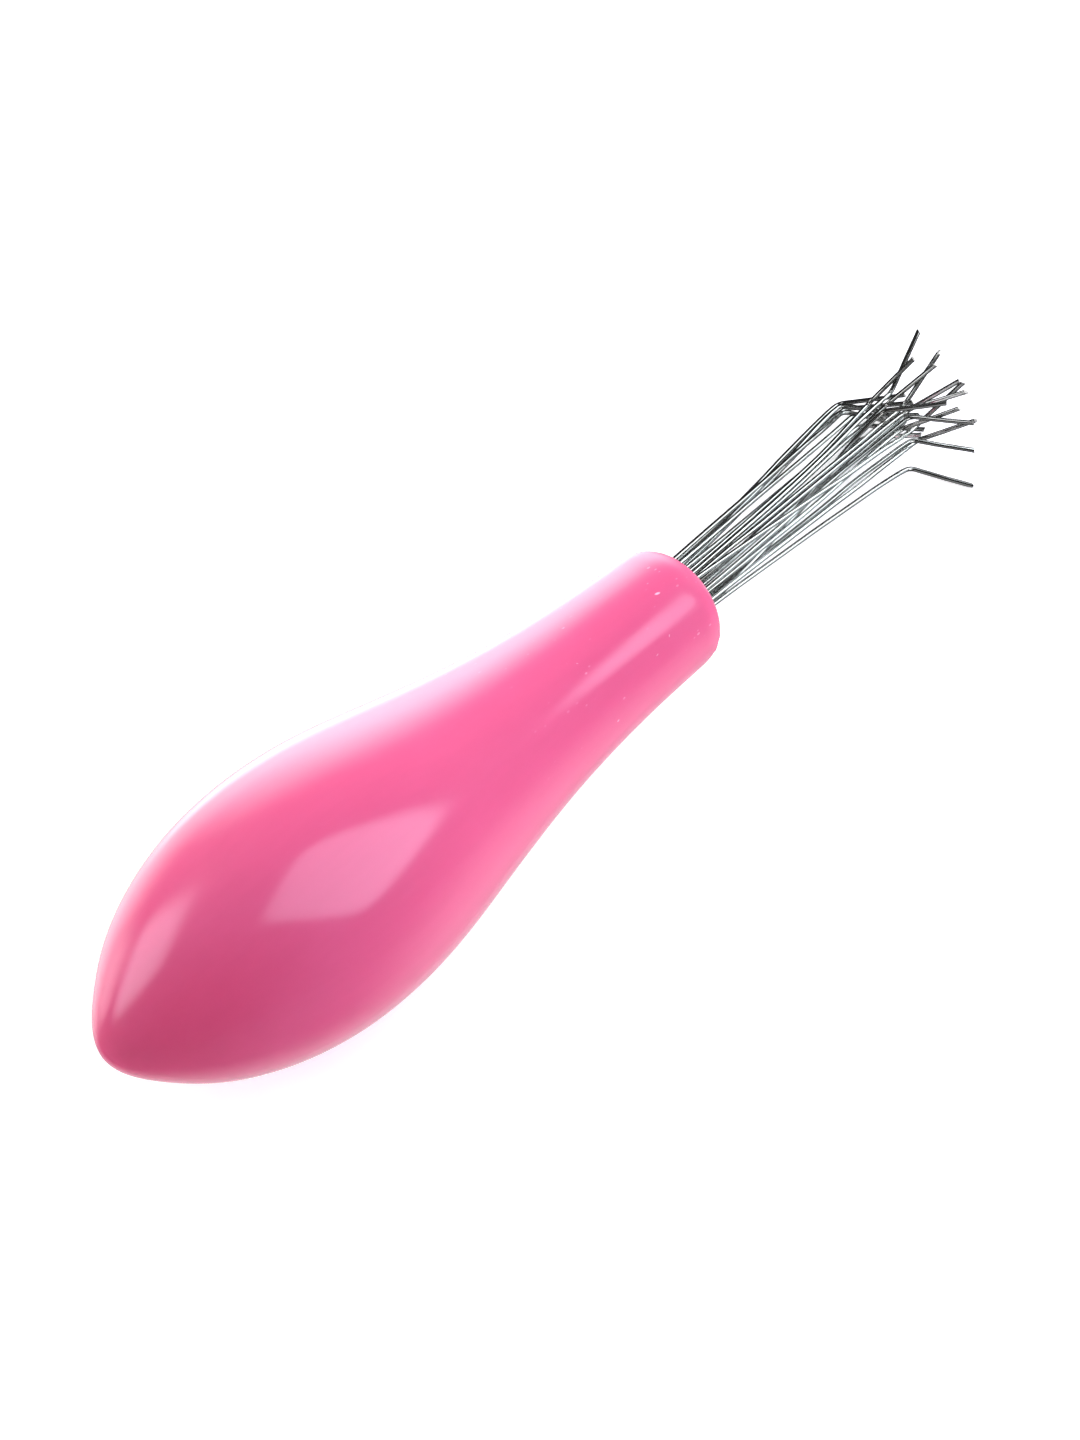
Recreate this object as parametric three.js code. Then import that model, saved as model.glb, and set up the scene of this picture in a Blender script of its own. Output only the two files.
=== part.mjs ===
// A comb and hairbrush cleaning rake: a turned one-piece plastic handle with a
// blind bore in its neck, and a bundle of stiff steel wire tines potted in it.
// Each tine runs out of the neck, spreads a little, and ends in a bent hook.
//
// Tool frame, millimetres: x runs along the handle from its butt to the tines,
// z is the side that the hooks turn towards. The tool is then laid in the pose
// in which it lies still on a table: nose down, rolled on the bulb of its handle.
import * as THREE from "three";

// ---- driving dimensions, mm ----
const HANDLE_LENGTH = 75.08; // butt to the flat end of the neck
const HANDLE_MAX_RADIUS = 12.84; // the bulb, 25.7 across
const NECK_RADIUS = 6.32; // where the end rounding begins
const NECK_END_ROUNDING = 3.11; // radius of the big rounding at the neck's end
const NECK_ROUNDING_ENDS_AT = 62; // degrees round that rounding, then the small one
const NECK_SMALL_ROUNDING = 0.6;
const BORE_RADIUS = 3.75; // blind bore that takes the wires and their adhesive
const BORE_DEPTH = 14;
const BORE_POINT = 1.6; // depth of the drill-point cone past that
const LATHE_SEGMENTS = 40;

const WIRE_RADIUS = 0.235; // 0.47 mm spring steel wire
const WIRE_SIDES = 8;
const WIRE_BURIED = 11.5; // length of each wire inside the bore
const BEND_RADIUS = 1.3; // centre-line radius of the bend at each hook
const BEND_STEPS = 4;

const PLUG_RADIUS = 3.6; // adhesive plug that fills the bore round the wires
const PLUG_RECESS = 0.28; // its face lies this far below the neck's flat end
const PLUG_LENGTH = 12.8;
const PLUG_HOLE_RADIUS = 0.29; // clearance hole for each wire
const PLUG_SEGMENTS = 40;
const PLUG_HOLE_SEGMENTS = 12;

const PITCH_DEG = 6.384; // nose down, as it lies on a table
const ROLL_DEG = 20.584; // rolled about its own axis

// Handle outline, [x, radius], from the butt's tip to where the end rounding begins.
const HANDLE_OUTLINE = [
  [0.00, 0.00], [0.16, 1.05], [0.60, 2.05], [1.30, 3.06], [2.30, 4.16], [3.70, 5.44],
  [5.60, 6.97], [8.21, 8.69], [10.82, 9.99], [13.43, 10.99], [16.04, 11.76], [18.66, 12.32],
  [21.27, 12.66], [23.88, 12.83], [26.49, 12.82], [29.10, 12.67], [31.71, 12.38], [34.32, 11.96],
  [36.93, 11.44], [39.54, 10.86], [42.15, 10.27], [44.77, 9.69], [47.38, 9.14], [49.99, 8.62],
  [52.60, 8.16], [55.21, 7.76], [57.82, 7.42], [60.43, 7.12], [63.04, 6.88], [65.65, 6.68],
  [68.27, 6.52], [70.67, 6.39], [72.27, 6.32],
];

// Tine centre lines, [x, y, z]: where the wire leaves the neck, points along the
// shank, the corner of the bend, and the cut end of the hook.
const TINE_LINES = [
  [[75.12, 2.85, -1.32], [77.97, 2.99, -1.63], [82.25, 3.21, -2.10], [86.53, 3.51, -2.58], [90.81, 3.94, -3.05], [95.09, 4.44, -3.52], [99.37, 4.89, -3.98], [103.65, 5.25, -4.34], [105.07, 5.26, -4.44], [109.40, 1.88, -0.87]],
  [[75.12, 2.25, -0.81], [77.93, 2.42, -1.13], [82.13, 2.76, -1.60], [86.34, 3.14, -2.07], [90.55, 3.53, -2.54], [94.76, 3.99, -3.01], [98.96, 4.49, -3.46], [103.17, 4.96, -3.52], [104.57, 5.01, -3.44], [108.52, 0.48, -1.91]],
  [[75.12, 1.96, -2.33], [78.06, 2.11, -2.62], [82.47, 2.42, -3.06], [86.87, 2.81, -3.51], [91.28, 3.25, -3.95], [95.69, 3.75, -4.39], [100.10, 4.20, -4.83], [104.50, 4.53, -5.28], [105.97, 4.46, -5.42], [110.20, 0.79, -1.74]],
  [[75.12, 3.13, 0.49], [77.97, 3.32, 0.07], [82.25, 3.49, -0.55], [86.53, 3.63, -1.17], [90.81, 3.79, -1.79], [95.09, 3.97, -2.40], [99.37, 4.14, -3.04], [103.65, 4.33, -4.20], [105.07, 4.40, -4.69], [109.02, -0.38, -3.58]],
  [[75.12, 2.59, -0.10], [77.96, 2.65, -0.41], [82.21, 2.77, -0.88], [86.46, 2.91, -1.35], [90.71, 3.03, -1.82], [94.96, 3.14, -2.29], [99.21, 3.25, -2.76], [103.46, 3.41, -3.23], [104.87, 3.48, -3.39], [108.64, -0.51, 0.00]],
  [[75.12, 1.43, 0.51], [77.96, 1.49, 0.48], [82.21, 1.62, 0.44], [86.46, 1.80, 0.39], [90.71, 1.99, 0.35], [94.96, 2.23, 0.30], [99.21, 2.65, 0.26], [103.46, 3.21, 0.21], [104.87, 3.39, 0.20], [108.84, 4.05, 5.17]],
  [[75.12, 1.09, 1.23], [78.13, 1.18, 1.32], [82.63, 1.34, 1.46], [87.14, 1.51, 1.59], [91.65, 1.77, 1.75], [96.16, 2.11, 1.93], [100.66, 2.54, 2.00], [105.17, 2.81, 1.77], [106.67, 2.86, 1.66], [111.00, 5.82, 5.59]],
  [[75.12, 0.82, -0.01], [77.96, 0.89, 0.20], [82.23, 1.02, 0.51], [86.49, 1.14, 0.81], [90.76, 1.33, 1.11], [95.02, 1.62, 1.39], [99.29, 1.88, 1.72], [103.55, 2.13, 2.39], [104.97, 2.21, 2.66], [108.55, 2.26, 7.84]],
  [[75.12, 1.90, -1.53], [77.97, 1.91, -1.72], [82.25, 1.93, -2.00], [86.53, 1.99, -2.29], [90.81, 2.08, -2.57], [95.09, 2.17, -2.86], [99.37, 2.24, -3.14], [103.65, 2.28, -3.43], [105.07, 2.18, -3.52], [108.29, -1.95, -0.31]],
  [[75.12, -1.95, -0.68], [77.82, -1.79, -0.32], [81.87, -1.40, 0.20], [85.92, -0.89, 0.71], [89.97, -0.24, 1.21], [94.02, 0.44, 1.77], [98.07, 1.24, 2.36], [102.12, 1.80, 3.27], [103.47, 1.88, 3.61], [106.92, -1.29, 7.75]],
  [[75.12, -0.39, -0.60], [77.97, -0.34, -1.00], [82.25, -0.22, -1.60], [86.53, -0.08, -2.20], [90.81, 0.06, -2.80], [95.09, 0.19, -3.40], [99.37, 0.50, -4.00], [103.65, 1.05, -4.61], [105.07, 1.24, -4.81], [107.60, -2.16, -0.34]],
  [[75.12, 0.69, 1.93], [78.09, 0.72, 1.93], [82.54, 0.79, 1.97], [86.99, 0.79, 2.17], [91.44, 0.85, 2.43], [95.89, 0.90, 2.72], [100.34, 0.95, 2.86], [104.79, 1.05, 2.72], [106.27, 1.09, 2.66], [110.17, 2.98, 7.37]],
  [[75.12, -2.21, 0.80], [78.06, -2.02, 0.91], [82.47, -1.58, 1.09], [86.87, -1.03, 1.37], [91.28, -0.42, 1.86], [95.69, 0.00, 2.38], [100.10, 0.19, 2.91], [104.50, 0.42, 3.45], [105.97, 0.50, 3.63], [108.83, -1.61, 8.72]],
  [[75.12, 0.09, 1.19], [77.99, 0.15, 1.60], [82.30, 0.24, 2.19], [86.61, 0.38, 2.62], [90.91, 0.45, 2.99], [95.22, 0.51, 3.38], [99.53, 0.55, 3.77], [103.84, 0.55, 4.16], [105.27, 0.48, 4.29], [108.29, -0.38, 9.70]],
  [[75.12, -0.85, 1.63], [77.95, -0.80, 1.80], [82.18, -0.70, 2.05], [86.42, -0.58, 2.30], [90.65, -0.40, 2.54], [94.89, -0.19, 2.89], [99.12, -0.14, 3.56], [103.36, -0.09, 4.28], [104.77, -0.08, 4.52], [108.40, -4.41, 6.98]],
  [[75.12, -1.15, 0.87], [77.94, -1.15, 1.14], [82.16, -1.13, 1.54], [86.38, -1.12, 1.93], [90.60, -1.06, 2.08], [94.82, -0.91, 2.13], [99.04, -0.67, 2.20], [103.26, -0.54, 2.28], [104.67, -0.57, 2.31], [108.25, -2.51, 7.12]],
  [[75.12, 0.57, 2.72], [78.13, 0.42, 2.80], [82.63, 0.16, 2.92], [87.14, -0.13, 3.05], [91.65, -0.43, 3.20], [96.16, -0.75, 3.17], [100.66, -0.94, 2.83], [105.17, -1.24, 2.46], [106.67, -1.17, 2.41], [109.82, -0.76, 7.79]],
  [[75.12, -1.55, -1.37], [77.94, -1.58, -1.02], [82.16, -1.64, -0.49], [86.38, -1.70, 0.04], [90.60, -1.72, 0.56], [94.82, -1.69, 1.08], [99.04, -1.71, 1.64], [103.26, -1.87, 2.22], [104.67, -2.00, 2.42], [108.84, -6.55, 3.44]],
  [[75.12, -1.93, 1.55], [78.05, -1.94, 1.56], [82.44, -1.99, 1.55], [86.84, -2.05, 1.50], [91.23, -2.12, 1.46], [95.62, -2.22, 1.43], [100.01, -2.28, 1.34], [104.41, -2.33, 1.25], [105.87, -2.36, 1.22], [109.48, -4.36, 5.98]],
  [[75.12, -2.37, 0.02], [77.97, -2.43, -0.14], [82.25, -2.58, -0.38], [86.53, -2.76, -0.62], [90.81, -2.95, -0.86], [95.09, -3.18, -1.10], [99.37, -3.43, -1.34], [103.65, -3.78, -1.58], [105.07, -4.00, -1.66], [108.61, -9.17, -0.33]],
];

// ---- materials ----
const pink = () => new THREE.MeshStandardMaterial({ color: 0xf0649a, roughness: 0.22, metalness: 0 });
const steel = () => new THREE.MeshStandardMaterial({ color: 0xb9b6b2, roughness: 0.25, metalness: 1 });
const resin = () => new THREE.MeshStandardMaterial({ color: 0xb8566f, roughness: 0.4, metalness: 0 });

// ---- handle ----
function handleGeometry() {
  const p = HANDLE_OUTLINE.map(([x, r]) => new THREE.Vector2(r, x));
  const start = HANDLE_OUTLINE[HANDLE_OUTLINE.length - 1];
  const cx = start[0];
  const cr = NECK_RADIUS - NECK_END_ROUNDING;
  const last = THREE.MathUtils.degToRad(NECK_ROUNDING_ENDS_AT);
  const steps = 7;
  for (let i = 1; i <= steps; i++) {
    const a = (last * i) / steps;
    p.push(new THREE.Vector2(cr + NECK_END_ROUNDING * Math.cos(a), cx + NECK_END_ROUNDING * Math.sin(a)));
  }
  // the small rounding carries on from the same tangent to the flat end
  const sx = cx + (NECK_END_ROUNDING - NECK_SMALL_ROUNDING) * Math.sin(last);
  const sr = cr + (NECK_END_ROUNDING - NECK_SMALL_ROUNDING) * Math.cos(last);
  const top = Math.PI / 2;
  for (let i = 1; i <= 2; i++) {
    const a = last + ((top - last) * i) / 2;
    p.push(new THREE.Vector2(sr + NECK_SMALL_ROUNDING * Math.cos(a), sx + NECK_SMALL_ROUNDING * Math.sin(a)));
  }
  const end = p[p.length - 1].y; // the flat end's x
  p.push(new THREE.Vector2(BORE_RADIUS, end));
  p.push(new THREE.Vector2(BORE_RADIUS, end - BORE_DEPTH));
  p.push(new THREE.Vector2(0, end - BORE_DEPTH - BORE_POINT));
  const g = new THREE.LatheGeometry(p, LATHE_SEGMENTS);
  g.rotateZ(-Math.PI / 2); // the lathe's axis becomes x
  return { geometry: g, end };
}

// ---- a round wire swept along a centre line, with flat cut ends ----
function wireGeometry(line, radius, sides) {
  const n = line.length;
  const tangent = (i) => {
    const a = line[Math.max(i - 1, 0)];
    const b = line[Math.min(i + 1, n - 1)];
    const d1 = line[i].clone().sub(a);
    const d2 = b.clone().sub(line[i]);
    if (d1.length() > 0) d1.normalize();
    if (d2.length() > 0) d2.normalize();
    return d1.add(d2).normalize();
  };
  const position = [];
  let t = tangent(0);
  let u = new THREE.Vector3(0, 0, 1).cross(t).normalize();
  for (let i = 0; i < n; i++) {
    const next = tangent(i);
    u.applyQuaternion(new THREE.Quaternion().setFromUnitVectors(t, next));
    u.addScaledVector(next, -u.dot(next)).normalize();
    t = next;
    const v = t.clone().cross(u);
    for (let k = 0; k < sides; k++) {
      const a = (2 * Math.PI * k) / sides;
      const q = line[i].clone().addScaledVector(u, radius * Math.cos(a)).addScaledVector(v, radius * Math.sin(a));
      position.push(q.x, q.y, q.z);
    }
  }
  const index = [];
  for (let i = 0; i < n - 1; i++)
    for (let k = 0; k < sides; k++) {
      const a = i * sides + k;
      const b = i * sides + ((k + 1) % sides);
      index.push(a, b, b + sides, a, b + sides, a + sides);
    }
  for (let k = 1; k < sides - 1; k++) {
    index.push(0, k + 1, k);
    const e = (n - 1) * sides;
    index.push(e, e + k, e + k + 1);
  }
  const g = new THREE.BufferGeometry();
  g.setAttribute("position", new THREE.Float32BufferAttribute(position, 3));
  g.setIndex(index);
  g.computeVertexNormals();
  return g;
}

// The full centre line of one tine: buried length, shank, rounded bend, hook.
function tineLine(points) {
  const p = points.map((q) => new THREE.Vector3(...q));
  const n = p.length;
  const corner = p[n - 2];
  const back = p[n - 3].clone().sub(corner).normalize();
  const out = p[n - 1].clone().sub(corner).normalize();
  const half = Math.acos(THREE.MathUtils.clamp(back.dot(out), -1, 1)) / 2; // half the inside angle
  const setback = BEND_RADIUS / Math.tan(half);
  const centre = corner.clone().addScaledVector(back.clone().add(out).normalize(), BEND_RADIUS / Math.sin(half));
  const from = corner.clone().addScaledVector(back, setback).sub(centre);
  const to = corner.clone().addScaledVector(out, setback).sub(centre);
  const turn = from.angleTo(to);
  const line = [p[0].clone().setX(p[0].x - WIRE_BURIED)];
  for (let i = 0; i < n - 2; i++) line.push(p[i]);
  for (let i = 0; i <= BEND_STEPS; i++) {
    const f = i / BEND_STEPS;
    line.push(
      centre
        .clone()
        .addScaledVector(from, Math.sin((1 - f) * turn) / Math.sin(turn))
        .addScaledVector(to, Math.sin(f * turn) / Math.sin(turn)),
    );
  }
  line.push(p[n - 1]);
  return line;
}

// ---- adhesive plug with a clearance hole for each wire ----
function plugGeometry(end) {
  const ring = (cx, cy, r, sides, Kind) => {
    const s = new Kind();
    for (let k = 0; k < sides; k++) {
      const a = (2 * Math.PI * (k + 0.5)) / sides;
      const x = cx + r * Math.cos(a);
      const y = cy + r * Math.sin(a);
      if (k) s.lineTo(x, y);
      else s.moveTo(x, y);
    }
    s.closePath();
    return s;
  };
  // drawn in (-z, y), extruded along +z, then turned so that the extrusion runs along x
  const shape = ring(0, 0, PLUG_RADIUS, PLUG_SEGMENTS, THREE.Shape);
  for (const tine of TINE_LINES)
    shape.holes.push(ring(-tine[0][2], tine[0][1], PLUG_HOLE_RADIUS, PLUG_HOLE_SEGMENTS, THREE.Path));
  const g = new THREE.ExtrudeGeometry(shape, { depth: PLUG_LENGTH, bevelEnabled: false, steps: 1 });
  g.rotateY(Math.PI / 2); // (x, y, z) becomes (z, y, -x)
  g.translate(end - PLUG_RECESS - PLUG_LENGTH, 0, 0);
  return g;
}

// ---- assembly ----
const tool = new THREE.Group();
const add = (name, geometry, material) => {
  const m = new THREE.Mesh(geometry, material);
  m.name = name;
  tool.add(m);
  return m;
};

const { geometry: handle, end } = handleGeometry();
add("handle", handle, pink());
add("adhesive_plug", plugGeometry(end), resin());
TINE_LINES.forEach((points, i) => {
  add("wire_tine_" + String(i + 1).padStart(2, "0"), wireGeometry(tineLine(points), WIRE_RADIUS, WIRE_SIDES), steel());
});

// Lay the tool as it lies on a table: rolled about its axis, then pitched nose down.
tool.rotation.order = "YXZ";
tool.rotation.set(THREE.MathUtils.degToRad(ROLL_DEG), THREE.MathUtils.degToRad(PITCH_DEG), 0);

// Origin: the middle of the outline seen from above, on the table's surface.
const part = new THREE.Group();
part.add(tool);
part.updateMatrixWorld(true);
const box = new THREE.Box3().setFromObject(part, true);
const middle = box.getCenter(new THREE.Vector3());
tool.position.set(-middle.x, -middle.y, -box.min.z);

export default part;
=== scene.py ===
# The looks of a comb and hairbrush cleaning rake: a glossy pink handle, a bundle of bright
# steel wire tines with cut hooks, and the adhesive that holds them in the neck.
import math

import bmesh
import bpy
import numpy as np
from mathutils import Matrix, Vector


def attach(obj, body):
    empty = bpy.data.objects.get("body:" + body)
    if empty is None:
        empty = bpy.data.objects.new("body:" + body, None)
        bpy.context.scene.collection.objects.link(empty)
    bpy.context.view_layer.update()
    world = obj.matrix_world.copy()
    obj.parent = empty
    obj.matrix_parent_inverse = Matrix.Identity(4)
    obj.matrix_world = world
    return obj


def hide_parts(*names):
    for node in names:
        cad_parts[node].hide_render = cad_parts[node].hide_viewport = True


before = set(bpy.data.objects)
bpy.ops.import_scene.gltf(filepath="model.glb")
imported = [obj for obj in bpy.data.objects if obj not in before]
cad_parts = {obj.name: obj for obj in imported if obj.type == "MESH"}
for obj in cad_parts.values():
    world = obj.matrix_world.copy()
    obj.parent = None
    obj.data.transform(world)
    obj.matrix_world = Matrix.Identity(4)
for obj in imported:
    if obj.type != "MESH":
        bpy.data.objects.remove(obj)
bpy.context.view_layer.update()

# ---------------------------------------------------------------- frames and sizes
# Tool frame, millimetres: x along the tool from the butt, z towards the side the hooks turn to.
# The tool lies on the table rolled about its axis and pitched nose down, as in the CAD model.
PITCH, ROLL = math.radians(6.384), math.radians(20.584)
OFFSET = Vector((-0.0556398, 0.0, 0.0158166))
TURN = Matrix.Rotation(PITCH, 4, "Y") @ Matrix.Rotation(ROLL, 4, "X")
TOOL = Matrix.Translation(OFFSET) @ TURN
TOOL3 = np.array(TURN.to_3x3())
OFF3 = np.array(OFFSET)

SEED = 20260


def to_row(points_mm):
    """Tool-frame millimetres to row-frame metres."""
    return (np.asarray(points_mm, float) * 0.001) @ TOOL3.T + OFF3


# ---------------------------------------------------------------- the handle's outline
# (x, radius squared, its slope), mm: a smooth outline through twelve stations.
KNOTS = np.array([
    (0.0000, 0.0000, 6.84898),
    (1.4168, 10.2605, 7.66629),
    (3.7664, 30.2500, 9.43487),
    (7.5416, 68.8634, 10.18694),
    (12.2496, 111.6995, 8.01406),
    (17.8992, 148.3329, 4.72140),
    (24.4992, 164.8451, 0.39433),
    (32.0320, 152.2164, -3.54067),
    (40.5152, 113.1926, -4.85239),
    (49.9312, 74.5252, -3.23085),
    (60.2976, 50.9339, -1.47264),
    (75.3720, 38.1627, -0.54317),
])
NECK_FROM = 71.76  # where the rounding of the neck's end begins
EASE, EASE_TO = 8.0, math.radians(10)  # a wide radius first, up to this slope
ROUND = 3.1064  # then this radius
ROUND_TO = math.radians(62)
SMALL = 0.6
BORE = 3.75
BORE_EDGE = 0.16
BORE_DEPTH = 14.0


def outline_r(x):
    x = np.asarray(x, float)
    k = np.clip(np.searchsorted(KNOTS[:, 0], x, side="right") - 1, 0, len(KNOTS) - 2)
    x0, y0, m0 = KNOTS[k].T
    x1, y1, m1 = KNOTS[k + 1].T
    h = x1 - x0
    t = (x - x0) / h
    y = (
        (2 * t**3 - 3 * t**2 + 1) * y0
        + (t**3 - 2 * t**2 + t) * h * m0
        + (-2 * t**3 + 3 * t**2) * y1
        + (t**3 - t**2) * h * m1
    )
    return np.sqrt(np.maximum(y, 0))


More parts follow.
